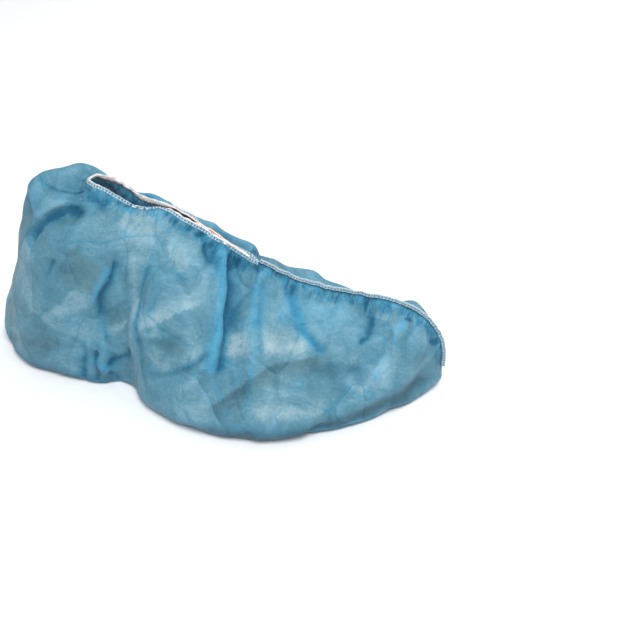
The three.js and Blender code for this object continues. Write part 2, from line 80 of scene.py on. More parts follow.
# The main folds of the fabric, in millimetres: along the foot from the sole's heel end, across it from the
# middle of the opening, and up from the floor. A fold follows its route over the surface.
# rise: how far its crest stands out, or, below 0, how deep its groove is.
# right, left: its half widths on either hand of the route, as one follows it on the outside of the fabric.
# point: 1 is as sharp as a paper crease, 2 is round.
# tone: painted light and shade along the fold's core: 1 is a pale painted highlight on a crest, -1 dark
# painted
# shade in a groove. blue: how much bluer than the plain fabric.
FOLDS = (
    # the long pleat below the instep: its crest, the groove beside it, and the groove's deepest stretch
    dict(route=((159, -4, 99), (162, -12, 90), (167, -28, 80), (169, -49, 64), (169, -60, 47),
                (171, -64, 39)),
         rise=3.6, right=7, left=1.9, point=1.3, tone=0.05, blue=0.8),
    dict(route=((162, -5, 95), (168, -21, 83), (172, -36, 75), (172, -54, 56), (171, -64, 40)),
         rise=-3.4, right=1.9, left=7, point=1.5, tone=-0.75, blue=0.8),
    dict(route=((171, -64, 39), (177, -72, 29), (181, -78, 18)),
         rise=0.8, right=1.6, left=1.6, point=1.2, tone=0, blue=0.5),
    # pleats under the opening's front half
    dict(route=((144, -5, 106), (148, -10, 99), (154, -18, 90)),
         rise=-2.2, right=2, left=4, point=1.2, tone=-0.5, blue=0.6),
    dict(route=((151, -5, 102), (156, -12, 95), (160, -22, 86)),
         rise=-1.6, right=3, left=2, point=1.2, tone=-0.3, blue=0.6),
    # heel: the thin crease along the collar, then the broad curved fold below it and its upper branch
    dict(route=((40, -1, 128), (50, -3, 128), (59, -4, 127), (70, -6, 126)),
         rise=-3.2, right=4, left=1.6, point=1.2, tone=-0.8, blue=0.8),
    dict(route=((36, -27, 93), (43, -26, 106), (51, -25, 114), (62, -22, 118), (74, -17, 120)),
         rise=-4.8, right=2.6, left=6, point=1.4, tone=-0.85, blue=0.7),
    dict(route=((40, -24, 112), (51, -20, 120), (62, -16, 124)),
         rise=2.2, right=5, left=5, point=1.8, tone=0.35, blue=-0.2),
    dict(route=((72, -10, 126), (80, -12, 123), (86, -12, 121)),
         rise=-2, right=3.5, left=1.8, point=1.2, tone=-0.5, blue=0.6),
    # side of the heel: a short deep crease that runs down towards the waist
    dict(route=((96, -32, 96), (93, -35, 86), (89, -37, 76), (85, -39, 65), (83, -42, 52)),
         rise=-3.6, right=1.8, left=5, point=1.3, tone=-0.8, blue=0.8),
    dict(route=((92, -32, 90), (86, -36, 76), (81, -39, 62)),
         rise=1.6, right=4, left=2, point=1.4, tone=0.2, blue=0.4),
    dict(route=((83, -42, 52), (86, -44, 44), (90, -44, 36), (92, -45, 23)),
         rise=-1.2, right=2, left=3, point=1.2, tone=-0.2, blue=0.3),
    dict(route=((56, -34, 91), (52, -34, 84), (50, -36, 78)),
         rise=-1.2, right=2, left=2.5, point=1.2, tone=-0.3, blue=0.3),
    # waist: a long soft ridge with a crease along its toe side
    dict(route=((109, -26, 101), (110, -36, 69), (110, -42, 45), (108, -44, 25)),
         rise=1.7, right=5, left=5, point=1.7, tone=0.3, blue=-0.1),
    dict(route=((119, -22, 103), (117, -31, 92), (114, -35, 77), (113, -41, 56), (115, -48, 43),
                (117, -54, 25)),
         rise=-2.2, right=1.8, left=4.5, point=1.2, tone=-0.25, blue=0.7),
    # the round bulge over the ankle
    dict(route=((121, -22, 103), (123, -13, 108), (127, -9, 110), (136, -6, 109)),
         rise=-1.3, right=3, left=1.6, point=1.2, tone=-0.3, blue=0.4),
    dict(route=((121, -22, 102), (127, -30, 94), (138, -32, 90), (146, -30, 88)),
         rise=-1.2, right=4, left=2, point=1.3, tone=-0.25, blue=0.2),
    dict(route=((126, -22, 101), (138, -19, 99), (150, -24, 91)),
         rise=2.0, right=8, left=8, point=2, tone=0.1, blue=-0.1),
    dict(route=((167, -57, 55), (154, -62, 44), (136, -64, 35), (122, -58, 30)),
         rise=-1.4, right=5, left=2, point=1.3, tone=-0.35, blue=0.1),
    dict(route=((115, -45, 49), (124, -49, 53), (132, -52, 55), (145, -55, 56)),
         rise=1.0, right=1.6, left=4, point=1.2, tone=0.25, blue=0),
    # crumples at the foot of the waist, where the sole turns up
    dict(route=((73, -46, 37), (74, -48, 28), (72, -48, 19), (71, -46, 4)),
         rise=-2.6, right=3, left=2, point=1.2, tone=-0.6, blue=0.6),
    dict(route=((83, -46, 32), (81, -47, 25), (82, -47, 14), (80, -45, 4)),
         rise=-3.8, right=3, left=1.6, point=1.2, tone=-0.9, blue=0.6),
    dict(route=((105, -43, 37), (101, -44, 29), (92, -45, 23), (86, -46, 20)),
         rise=-3.6, right=1.6, left=3.5, point=1.2, tone=-0.85, blue=0.6),
    dict(route=((88, -46, 15), (92, -46, 9), (97, -43, 4)),
         rise=-3, right=2.5, left=2, point=1.2, tone=-0.8, blue=0.5),
    dict(route=((76, -48, 25), (84, -48, 20), (95, -46, 14)),
         rise=1.8, right=4, left=4, point=1.6, tone=0.1, blue=0.2),
    # forefoot: two fine upright ridges
    dict(route=((182, -6, 83), (188, -34, 70), (192, -53, 51), (193, -69, 30), (191, -79, 14)),
         rise=0.9, right=1.8, left=2, point=1.2, tone=0, blue=0.6),
    dict(route=((186, -8, 81), (192, -34, 69), (196, -53, 50)),
         rise=-1.0, right=2, left=5, point=1.3, tone=-0.1, blue=0.5),
    # forefoot: the slanting blue fold from the toe seam to the outer edge of the sole
    dict(route=((205, -3, 77), (214, -21, 68), (222, -33, 62), (229, -37, 57), (238, -41, 51)),
         rise=-2.4, right=5, left=3, point=1.5, tone=-0.25, blue=0.9),
    dict(route=((238, -41, 51), (246, -45, 40), (254, -47, 29)),
         rise=1.4, right=2, left=2.5, point=1.2, tone=0.35, blue=0.3),
    # the toe: an elbow-shaped crease, and the ridge that runs from the toe seam to the edge of the sole
    dict(route=((258, -3, 68), (260, -14, 63), (260, -25, 58), (255, -30, 55)),
         rise=-3.2, right=2.5, left=2, point=1.2, tone=-0.85, blue=0.6),
    dict(route=((252, -3, 69), (240, -6, 71), (228, -6, 72)),
         rise=-1.2, right=1.8, left=3, point=1.3, tone=-0.3, blue=0.6),
    dict(route=((281, -7, 59), (276, -18, 55), (269, -30, 41), (264, -38, 31)),
         rise=2.4, right=4.5, left=2.5, point=1.3, tone=0.35, blue=0.2),
    dict(route=((275, -14, 58), (273, -24, 49), (266, -32, 38)),
         rise=-1.8, right=5, left=2, point=1.4, tone=-0.6, blue=0),
    dict(route=((279, -5, 60), (285, -2, 58)),
         rise=-1.6, right=2, left=2, point=1.3, tone=-0.8, blue=0.5),
    dict(route=((296, -3, 44), (301, 3, 40)),
         rise=-1.2, right=2, left=2, point=1.3, tone=-0.7, blue=0.3),
    # the fabric turns in under the toe
    dict(route=((226, -66, 6), (256, -50, 8), (276, -38, 10), (292, -22, 14), (302, -4, 20)),
         rise=-4.5, right=12, left=12, point=2, tone=0, blue=0),
    # inner side
    dict(route=((84, 12, 124), (74, 26, 104), (66, 36, 78)),
         rise=-2.6, right=6, left=2, point=1.3, tone=-0.6, blue=0.7),
    dict(route=((122, 6, 117), (124, 26, 98), (120, 38, 70), (116, 40, 40)),
         rise=-2.6, right=2, left=6, point=1.3, tone=-0.6, blue=0.7),
    dict(route=((140, 6, 108), (142, 26, 94), (136, 40, 60), (130, 44, 30)),
         rise=2.4, right=5, left=3, point=1.5, tone=0.3, blue=0.3),
    dict(route=((166, 6, 94), (176, 26, 78), (180, 42, 50)),
         rise=-3, right=6, left=2, point=1.3, tone=-0.7, blue=0.8),
    dict(route=((210, 6, 74), (214, 30, 58), (208, 48, 30)),
         rise=1.8, right=3, left=4, point=1.3, tone=0.3, blue=0.4),
    dict(route=((232, 8, 70), (246, 28, 56), (244, 42, 34)),
         rise=-2, right=3, left=4, point=1.3, tone=-0.4, blue=0.6),
    dict(route=((276, 10, 60), (268, 28, 42)), rise=-1.6, right=3, left=3, point=1.3, tone=-0.5, blue=0.4),
    dict(route=((82, 12, 124), (100, 16, 121), (120, 18, 116), (140, 20, 107), (158, 20, 98), (176, 16, 88)),
         rise=-12, right=12, left=12, point=2, tone=0, blue=0),
    dict(route=((188, 13, 80), (210, 15, 72), (236, 15, 66), (262, 14, 60), (280, 12, 54)),
         rise=-6, right=11, left=11, point=2, tone=0, blue=0),
    # back of the heel
    dict(route=((30, -12, 121), (16, -16, 110), (9, -17, 98)),
         rise=-7.5, right=13, left=13, point=2, tone=0, blue=0),
    dict(route=((2, -22, 50), (0, -22, 28), (10, -34, 10)),
         rise=-3.5, right=16, left=16, point=2, tone=0, blue=0),
    dict(route=((22, 2, 118), (4, 4, 90), (-3, 2, 50)),
         rise=1.4, right=4, left=5, point=1.4, tone=0.2, blue=0.2),
    dict(route=((40, 24, 112), (24, 30, 84), (22, 34, 50)),
         rise=-2, right=3, left=5, point=1.3, tone=-0.4, blue=0.5),
)

# Where the elastic draws the opening's edge, along the foot, in millimetres.
# share: how much of the opening's width it pulls together. sink: how far the outer side's edge goes down.
# bulge: how far the fabric below that edge stands up. lift: how far the heel's fabric holds both edges up.
PINCH = (
    dict(along=72, share=0.0, sink=0, bulge=0, lift=4.5),
    dict(along=84, share=0.0, sink=0, bulge=0, lift=3.5),
    dict(along=94, share=0.0, sink=0, bulge=1, lift=1),
    dict(along=102, share=0.05, sink=2.5, bulge=3.5, lift=0),
    dict(along=112, share=0.25, sink=3.0, bulge=4.0, lift=0),
    dict(along=120, share=0.6, sink=2, bulge=2.5, lift=0),
    dict(along=126, share=0.55, sink=0.5, bulge=0, lift=0),
    dict(along=134, share=0.2, sink=0.5, bulge=0, lift=0),
    dict(along=142, share=0.4, sink=0, bulge=0, lift=0),
    dict(along=146, share=0.65, sink=0, bulge=0, lift=0),
    dict(along=152, share=0.3, sink=0, bulge=0, lift=0),
    dict(along=160, share=0.65, sink=0, bulge=0, lift=0),
    dict(along=184, share=0.6, sink=0, bulge=0, lift=0),
)

# Areas of painted light and shade, in the columns of the folds: paler where the fabric bulges up to the
# light, darker on its shaded sides and along the heel's underside, painted shadows, layers that overlap, and
# the shade of the turned-in edge of the sole. The pale areas also stand for a shoe inside showing through the
# fabric. They don't move the fabric.
LIGHT_AND_SHADE_AREAS = (
    dict(route=((98, -14, 117), (112, -18, 110), (104, -24, 104)),
         right=10, left=10, point=2, tone=0.3, blue=-0.2),
    dict(route=((126, -22, 101), (142, -26, 94)), right=8, left=8, point=2, tone=0.15, blue=-0.1),
    dict(route=((62, -34, 92), (76, -34, 84), (72, -38, 70)),
         right=12, left=12, point=2, tone=-0.35, blue=-0.3),
    dict(route=((92, -38, 62), (100, -40, 52)), right=8, left=8, point=2, tone=-0.4, blue=-0.1),
    dict(route=((128, -50, 50), (150, -56, 48)), right=5, left=7, point=2, tone=-0.3, blue=-0.2),
    dict(route=((30, -38, 40), (52, -44, 24)), right=16, left=16, point=2, tone=-0.2, blue=-0.1),
    dict(route=((176, -44, 62), (178, -56, 50)), right=7, left=9, point=2, tone=0.55, blue=-0.4),
    dict(route=((196, -46, 58), (226, -40, 57)), right=7, left=9, point=2, tone=0.5, blue=-0.3),
    # layers that overlap over the ankle, each with one crisp edge
    dict(route=((114, -45, 50), (124, -47, 59), (138, -46, 68), (155, -41, 79)),
         right=1.3, left=9, point=2, tone=0.4, blue=-0.1),
    dict(route=((112, -44, 46), (128, -50, 53), (146, -54, 60)),
         right=6, left=1.5, point=2, tone=-0.35, blue=0.1),
    dict(route=((124, -59, 32), (140, -64, 38), (154, -61, 46), (166, -56, 56)),
         right=1.2, left=10, point=2, tone=0.35, blue=-0.1),
    dict(route=((84, -42, 40), (98, -41, 46), (106, -41, 56)),
         right=1.3, left=8, point=2, tone=0.3, blue=-0.1),
    dict(route=((44, -41, 46), (60, -38, 62), (76, -36, 80)),
         right=8, left=1.3, point=2, tone=0.25, blue=-0.1),
    # the broad shadow over the ball of the foot, with a crisp upper edge
    dict(route=((166, -76, 22), (182, -68, 33), (192, -61, 40), (206, -53, 47), (221, -47, 49),
                (240, -39, 52)),
         right=9, left=0.9, point=2, tone=-0.5, blue=-0.4),
    dict(route=((228, -46, 46), (240, -41, 46), (262, -36, 40)),
         right=8, left=1.2, point=2, tone=-0.4, blue=0.1),
    dict(route=((244, -40, 44), (252, -44, 34), (262, -42, 26)),
         right=1.2, left=9, point=2, tone=0.3, blue=-0.1),
    dict(route=((196, -72, 22), (240, -56, 22)), right=9, left=7, point=2, tone=0.4, blue=-0.2),
    dict(route=((270, -30, 46), (274, -31, 36), (270, -36, 27)),
         right=6, left=6, point=2, tone=0.45, blue=0.1),
    dict(route=((288, -16, 42), (294, -12, 33)), right=6, left=6, point=2, tone=-0.25, blue=-0.1),
    dict(route=((150, -78, 8), (190, -82, 8), (230, -70, 8), (262, -50, 10), (286, -24, 14), (300, -4, 22)),
         right=8, left=8, point=2, tone=-0.75, blue=-0.1),
    dict(route=((200, -20, 72), (222, -19, 68), (246, -18, 63)),
         right=11, left=11, point=2, tone=0.25, blue=0.35),
    dict(route=((58, -33, 92), (50, -38, 60)), right=10, left=12, point=2, tone=-0.25, blue=0.1),
    dict(route=((0, -18, 8), (20, -34, 7), (50, -46, 5), (100, -44, 5)),
         right=8, left=5, point=2, tone=-0.5, blue=0.1),
)


# ---- settings -------------------------------------------------------------------------------------------
def linear(hex_code):
    """The linear colour of an sRGB hex value."""
    channels = [int(hex_code[i : i + 2], 16) / 255 for i in (1, 3, 5)]
    return tuple(c / 12.92 if c <= 0.04045 else ((c + 0.055) / 1.055) ** 2.4 for c in channels) + (1.0,)


def length_setting(name, description, millimetres):
    """A length that the user can change, in metres."""
    return FloatProperty(
        name=name,
        description=description,
        default=millimetres * MM,
        min=0.0,
        unit="LENGTH",
        precision=5,
    )


def colour_setting(name, description, hex_code):
    """A colour that the user can change, given as sRGB hex."""
    return FloatVectorProperty(
        name=name,
        description=description,
        default=linear(hex_code),
        size=4,
        min=0.0,
        max=1.0,
        subtype="COLOR",
    )


class FabricSettings(bpy.types.PropertyGroup):
    """The spunbond fabric of the shell."""

    thickness: length_setting("Thickness", "Thickness of the fabric", 0.35)
    undulation: length_setting("Undulation", "Height of the broad, soft waves of the loose fabric", 1.3)
    crumple: length_setting("Crumple", "Height of the small creases all over the fabric", 0.75)
    facet: length_setting("Facet", "Height of the flat patches that packing left in the fabric", 2.2)
    gather: length_setting("Gather", "Height of the gathers that the elastic and the seam draw in", 1.5)
    dull_dark: colour_setting("Dull dark", "Thick and shaded fabric", "#3a6a7b")
    dull: colour_setting("Dull", "Plain fabric", "#6797a7")
    dull_pale: colour_setting("Dull pale", "Thin fabric that catches the light", "#b3d0d9")
    # blue_dark paints the shade at the bottom of a fold, blue_pale the highlight on its crest
    blue_dark: colour_setting("Blue dark", "The bottom of a fold", "#0e6386")
    blue: colour_setting("Blue", "Fabric that lies double along a fold", "#3f9abf")
    blue_pale: colour_setting("Blue pale", "The crest of a fold", "#6bb6d6")
    panel_pitch: length_setting("Panel pitch", "Width of the panels between the packing creases", 26)
    bond_pitch: length_setting("Bond pitch", "Distance between the heat-bonded points", 1.6)


class ThreadSettings(bpy.types.PropertyGroup):
    """The overlock thread of the opening's edge and of the toe seam."""

    radius: length_setting("Thread radius", "Half the thickness of the thread", 0.17)
    pitch: length_setting("Stitch pitch", "Distance from one stitch to the next", 2.2)
    reach: length_setting("Stitch reach", "How far a stitch reaches in from the edge", 1.8)
    colour: colour_setting("Thread colour", "White thread", "#b9cad2")


class ElasticSettings(bpy.types.PropertyGroup):
    """The flat elastic inside the opening's lip."""

    height: length_setting("Height", "Width of the flat elastic, which stands upright in the lip", 3.4)
    thickness: length_setting("Thickness", "Thickness of the elastic", 0.7)
    colour: colour_setting("Colour", "Unbleached latex elastic", "#dfbaad")


class StageSettings(bpy.types.PropertyGroup):
    """The camera and the floor."""

    distance: length_setting("Distance", "From the camera to the point that it looks at", 892.5)
    elevation: FloatProperty(
        name="Elevation",
        description="How far the camera looks down",
        default=math.radians(36),
        subtype="ANGLE",
    )
    azimuth: FloatProperty(
        name="Azimuth",
        description="How far round the camera stands towards the toe",
        default=math.radians(13.3),
        subtype="ANGLE",
    )
    look_at: FloatVectorProperty(
        name="Look at",
        description="The point on the floor that the camera looks at",
        default=(0.0581, 0.0767, 0.0),
        subtype="XYZ",
        unit="LENGTH",
    )
    lens: FloatProperty(name="Lens", description="Focal length in mm, on a 36 mm sensor", default=69.3)
    floor_colour: colour_setting("Floor colour", "A plain pale floor", "#f4f5f6")


# ---- nodes and materials --------------------------------------------------------------------------------
def add(tree, kind, inputs=None, **settings):
    """Adds a node with its settings. An input is a value for its socket, or another node's output to link."""
    node = tree.nodes.new(kind)
    for name, value in settings.items():
        setattr(node, name, value)
    for socket, source in (inputs or {}).items():
        if isinstance(source, bpy.types.NodeSocket):
            tree.links.new(source, node.inputs[socket])
        else:
            node.inputs[socket].default_value = source
    return node


def new_material(name):
    """A material with an empty node tree."""
    material = bpy.data.materials.new(name)
    material.use_nodes = True
    material.node_tree.nodes.clear()
    return material


def spunbond_polypropylene(settings):
    """Spunbond polypropylene, extruded as fine filaments and bonded with hot points: matt with a faint sheen,
    cloudy and streaky where the filaments lie thicker, bluer where it lies double, slightly see-through. Its
    colour also carries the painted light and shade of the folds and areas, read from the vertices."""
    cloud_width = 18.2 * MM
    swirl_width, swirl_shift = 45.5 * MM, 30 * MM
    streak_length, streak_squeeze = 7.7 * MM, (1.0, 3.0, 4.0)
    pucker_width, pucker_length = 3.6 * MM, 16 * MM
    patch_width = 35.7 * MM
    grain_width = 1.43 * MM  # coarser than the filaments, so that it shows
    crinkle_width = 6.67 * MM

    material = new_material("spunbond_polypropylene")
    tree = material.node_tree
    place = add(tree, "ShaderNodeTexCoord").outputs["Object"]
    painted_shading = add(tree, "ShaderNodeAttribute", attribute_name="tone").outputs["Fac"]
    fold_blue = add(tree, "ShaderNodeAttribute", attribute_name="blue").outputs["Fac"]

    # cloudy formation, 10 to 30 mm across, and streaks of filaments along the machine direction
    clouds = add(tree, "ShaderNodeTexNoise", {
        "Vector": place, "Scale": 1 / cloud_width, "Detail": 5.0, "Roughness": 0.62, "Distortion": 0.8,
    }).outputs["Fac"]
    cloud_tone = add(tree, "ShaderNodeMapRange", {
        "Value": clouds, "From Min": 0.3, "From Max": 0.7, "To Min": -0.3, "To Max": 0.36,
    }).outputs["Result"]
    swirl = add(tree, "ShaderNodeTexNoise", {
        "Vector": place, "Scale": 1 / swirl_width, "Detail": 1.0,
    }).outputs["Color"]
    shifted = add(
        tree, "ShaderNodeVectorMath", {0: swirl, 1: (swirl_shift,) * 3, 2: place}, operation="MULTIPLY_ADD"
    ).outputs["Vector"]
    squeezed = add(tree, "ShaderNodeMapping", {
        "Vector": shifted, "Rotation": (0.3, 0.9, 0.2), "Scale": streak_squeeze,
    }).outputs["Vector"]
    streaks = add(tree, "ShaderNodeTexNoise", {
        "Vector": squeezed, "Scale": 1 / streak_length, "Detail": 3.0, "Roughness": 0.6,
    }).outputs["Fac"]
    streak_tone = add(tree, "ShaderNodeMapRange", {
        "Value": streaks, "From Min": 0.3, "From Max": 0.7, "To Min": -0.13, "To Max": 0.13,
    }).outputs["Result"]
    formation = add(tree, "ShaderNodeMath", {0: cloud_tone, 1: streak_tone}, operation="ADD").outputs[0]

    # puckers: thin blue lines of painted shade that run down from the stitched edges and die out
    drawn = add(tree, "ShaderNodeAttribute", attribute_name="pucker_place").outputs["Vector"]
    below = add(tree, "ShaderNodeSeparateXYZ", {0: drawn}).outputs["Y"]
    spread = add(tree, "ShaderNodeMapping", {
        "Vector": drawn, "Scale": (1 / pucker_width, 1 / pucker_length, 100.0),
    }).outputs["Vector"]
    pucker = add(tree, "ShaderNodeTexNoise", {
        "Vector": spread, "Scale": 1.0, "Detail": 2.0, "Roughness": 0.6,
    }).outputs["Fac"]
    near_edge = add(
        tree,
        "ShaderNodeMapRange",
        {"Value": below, "From Min": 3 * MM, "From Max": 22 * MM, "To Min": 1.0, "To Max": 0.0},
        interpolation_type="SMOOTHSTEP",
    ).outputs["Result"]
    puckered = add(tree, "ShaderNodeMath", {0: pucker, 1: near_edge}, operation="MULTIPLY").outputs[0]
    pucker_shade = add(tree, "ShaderNodeMapRange", {
        "Value": puckered, "From Min": 0.4, "From Max": 0.62,
    }).outputs["Result"]

    # packing creases: panels of slightly different tone, and thin blue lines between them that come and go
    stood = add(tree, "ShaderNodeMapping", {
        "Vector": shifted, "Rotation": (0.2, 0.5, 0.0), "Scale": (1.0, 1.0, 0.6),
    }).outputs["Vector"]
    cells = {"Vector": stood, "Scale": 1 / settings.panel_pitch}
    panel = add(tree, "ShaderNodeTexVoronoi", cells, feature="F1").outputs["Color"]
    border = add(tree, "ShaderNodeTexVoronoi", cells, feature="DISTANCE_TO_EDGE").outputs["Distance"]
    panel_tone = add(tree, "ShaderNodeMapRange", {
        "Value": panel, "To Min": -0.32, "To Max": 0.32,
    }).outputs["Result"]
    patches = add(tree, "ShaderNodeTexNoise", {
        "Vector": place, "Scale": 1 / patch_width, "Detail": 1.0,
    }).outputs["Fac"]
    present = add(tree, "ShaderNodeMapRange", {
        "Value": patches, "From Min": 0.42, "From Max": 0.58,
    }).outputs["Result"]
    thin = add(tree, "ShaderNodeMapRange", {
        "Value": border, "From Min": 0.0, "From Max": 0.035, "To Min": 1.0, "To Max": 0.0,
    }).outputs["Result"]
    line = add(tree, "ShaderNodeMath", {0: thin, 1: present}, operation="MULTIPLY").outputs[0]
    faint_line = add(tree, "ShaderNodeMath", {0: line, 1: 0.6}, operation="MULTIPLY").outputs[0]
    panels = add(tree, "ShaderNodeMath", {0: panel_tone, 1: present}, operation="MULTIPLY").outputs[0]
    # the puckers' painted shade, and the packing creases' faint lines
    pucker_shade_and_crease_lines = add(
        tree, "ShaderNodeMath", {0: pucker_shade, 1: 1.6, 2: faint_line}, operation="MULTIPLY_ADD"
    ).outputs[0]
    blue = add(
        tree, "ShaderNodeMath", {0: pucker_shade_and_crease_lines, 1: 0.55, 2: fold_blue}, operation="MULTIPLY_ADD"
    ).outputs[0]

    # the tone in all: the formation, the panels, the puckers' painted shade and the crease lines, the
    # filaments' grain, and the painted light and shade of the folds, hollows and areas
    grain = add(tree, "ShaderNodeTexNoise", {
        "Vector": place, "Scale": 1 / grain_width, "Detail": 2.0, "Roughness": 0.7,
    }).outputs["Fac"]
    grain_tone = add(tree, "ShaderNodeMapRange", {
        "Value": grain, "From Min": 0.3, "From Max": 0.7, "To Min": -0.2, "To Max": 0.2,
    }).outputs["Result"]
    level = add(tree, "ShaderNodeMath", {0: formation, 1: panels}, operation="ADD").outputs[0]
    level = add(
        tree, "ShaderNodeMath", {0: pucker_shade_and_crease_lines, 1: -0.35, 2: level}, operation="MULTIPLY_ADD"
    ).outputs[0]
    level = add(tree, "ShaderNodeMath", {0: level, 1: grain_tone}, operation="ADD").outputs[0]
    level = add(tree, "ShaderNodeMath", {0: level, 1: painted_shading}, operation="ADD").outputs[0]
    darker = add(tree, "ShaderNodeMapRange", {
        "Value": level, "From Min": 0.0, "From Max": -1.0,
    }).outputs["Result"]
    paler = add(tree, "ShaderNodeMapRange", {
        "Value": level, "From Min": 0.0, "From Max": 1.0,
    }).outputs["Result"]
    dull_and_rich = []
    for dark, plain, pale in (
        (settings.dull_dark, settings.dull, settings.dull_pale),
        (settings.blue_dark, settings.blue, settings.blue_pale),
    ):
        lit = add(tree, "ShaderNodeMix", {0: paler, 6: plain, 7: pale}, data_type="RGBA").outputs[2]
        shaded = add(tree, "ShaderNodeMix", {0: darker, 6: lit, 7: dark}, data_type="RGBA").outputs[2]
        dull_and_rich.append(shaded)
    dull, rich = dull_and_rich
    colour = add(tree, "ShaderNodeMix", {0: blue, 6: dull, 7: rich}, data_type="RGBA").outputs[2]

    # relief: the gathers' puckers, the pressed packing creases, fine crinkles and the bonded points
    crinkle = add(
        tree,
        "ShaderNodeTexNoise",
        {"Vector": place, "Scale": 1 / crinkle_width, "Detail": 4.0, "Roughness": 0.5, "Distortion": 0.6},
        noise_type="RIDGED_MULTIFRACTAL",
    ).outputs["Fac"]
    groove = add(tree, "ShaderNodeMapRange", {"Value": border, "From Max": 0.09}).outputs["Result"]
    bonds = add(
        tree,
        "ShaderNodeTexVoronoi",
        {"Vector": place, "Scale": 1 / settings.bond_pitch, "Randomness": 0.3},
        feature="F1",
    ).outputs["Distance"]
    bump = add(tree, "ShaderNodeBump", {
        "Height": puckered, "Strength": 1.0, "Distance": 3.5 * MM,
    }).outputs["Normal"]
    finer = ((groove, 0.5, 1.2 * MM), (crinkle, 0.35, 0.6 * MM), (bonds, 0.3, 0.12 * MM))
    for height, strength, depth in finer:
        bump = add(tree, "ShaderNodeBump", {
            "Height": height, "Strength": strength, "Distance": depth, "Normal": bump,
        }).outputs["Normal"]

    surface = add(tree, "ShaderNodeBsdfPrincipled", {
        "Base Color": colour,
        "Normal": bump,
        "Roughness": 0.6,
        "Specular IOR Level": 0.4,
        "Sheen Weight": 0.12,
        "Sheen Roughness": 0.5,
    }).outputs["BSDF"]
    passed = add(
        tree, "ShaderNodeMix", {0: 0.5, 6: colour, 7: linear("#dceaf0")}, data_type="RGBA"
    ).outputs[2]
    through = add(tree, "ShaderNodeBsdfTranslucent", {"Color": passed, "Normal": bump}).outputs["BSDF"]
    fabric = add(tree, "ShaderNodeMixShader", {"Fac": 0.35, 1: surface, 2: through}).outputs["Shader"]
    add(tree, "ShaderNodeOutputMaterial", {"Surface": fabric})
    return material


def texturised_polyester(settings):
    """Texturised polyester overlock thread, twisted from crimped filaments: white, soft, a little fluffy."""
    fluff_width = 0.455 * MM
    material = new_material("texturised_polyester")
    tree = material.node_tree
    place = add(tree, "ShaderNodeTexCoord").outputs["Object"]
    fluff = add(tree, "ShaderNodeTexNoise", {
        "Vector": place, "Scale": 1 / fluff_width, "Detail": 2.0,
    }).outputs["Fac"]
    tone = add(
        tree, "ShaderNodeMix", {0: fluff, 6: linear("#c9d8df"), 7: settings.colour}, data_type="RGBA"
    ).outputs[2]
    bump = add(tree, "ShaderNodeBump", {
        "Height": fluff, "Strength": 0.4, "Distance": 0.1 * MM,
    }).outputs["Normal"]
    surface = add(tree, "ShaderNodeBsdfPrincipled", {
        "Base Color": tone, "Normal": bump, "Roughness": 0.7, "Sheen Weight": 0.25,
    }).outputs["BSDF"]
    add(tree, "ShaderNodeOutputMaterial", {"Surface": surface})
    return material


def cut_latex(settings):
    """Natural latex, calendered and cut into flat elastic: pinkish cream, matt, with fine dusty mottling."""
    mottle_width = 3.33 * MM
    material = new_material("cut_latex")
    tree = material.node_tree
    place = add(tree, "ShaderNodeTexCoord").outputs["Object"]
    dust = add(tree, "ShaderNodeTexNoise", {
        "Vector": place, "Scale": 1 / mottle_width, "Detail": 4.0,
    }).outputs["Fac"]
    dusty = add(tree, "ShaderNodeMapRange", {
        "Value": dust, "From Min": 0.35, "From Max": 0.62,
    }).outputs["Result"]
    tone = add(
        tree, "ShaderNodeMix", {0: dusty, 6: settings.colour, 7: linear("#efe4df")}, data_type="RGBA"
    ).outputs[2]
    bump = add(tree, "ShaderNodeBump", {
        "Height": dust, "Strength": 0.25, "Distance": 0.1 * MM,
    }).outputs["Normal"]
    surface = add(tree, "ShaderNodeBsdfPrincipled", {
        "Base Color": tone, "Normal": bump, "Roughness": 0.55,
    }).outputs["BSDF"]
    add(tree, "ShaderNodeOutputMaterial", {"Surface": surface})
    return material


def painted_floor(settings):
    """A matt painted studio floor, which shows no grain."""
    material = new_material("painted_floor")
    tree = material.node_tree
    surface = add(tree, "ShaderNodeBsdfPrincipled", {
        "Base Color": settings.floor_colour, "Roughness": 0.9,
    }).outputs["BSDF"]
    add(tree, "ShaderNodeOutputMaterial", {"Surface": surface})
    return material


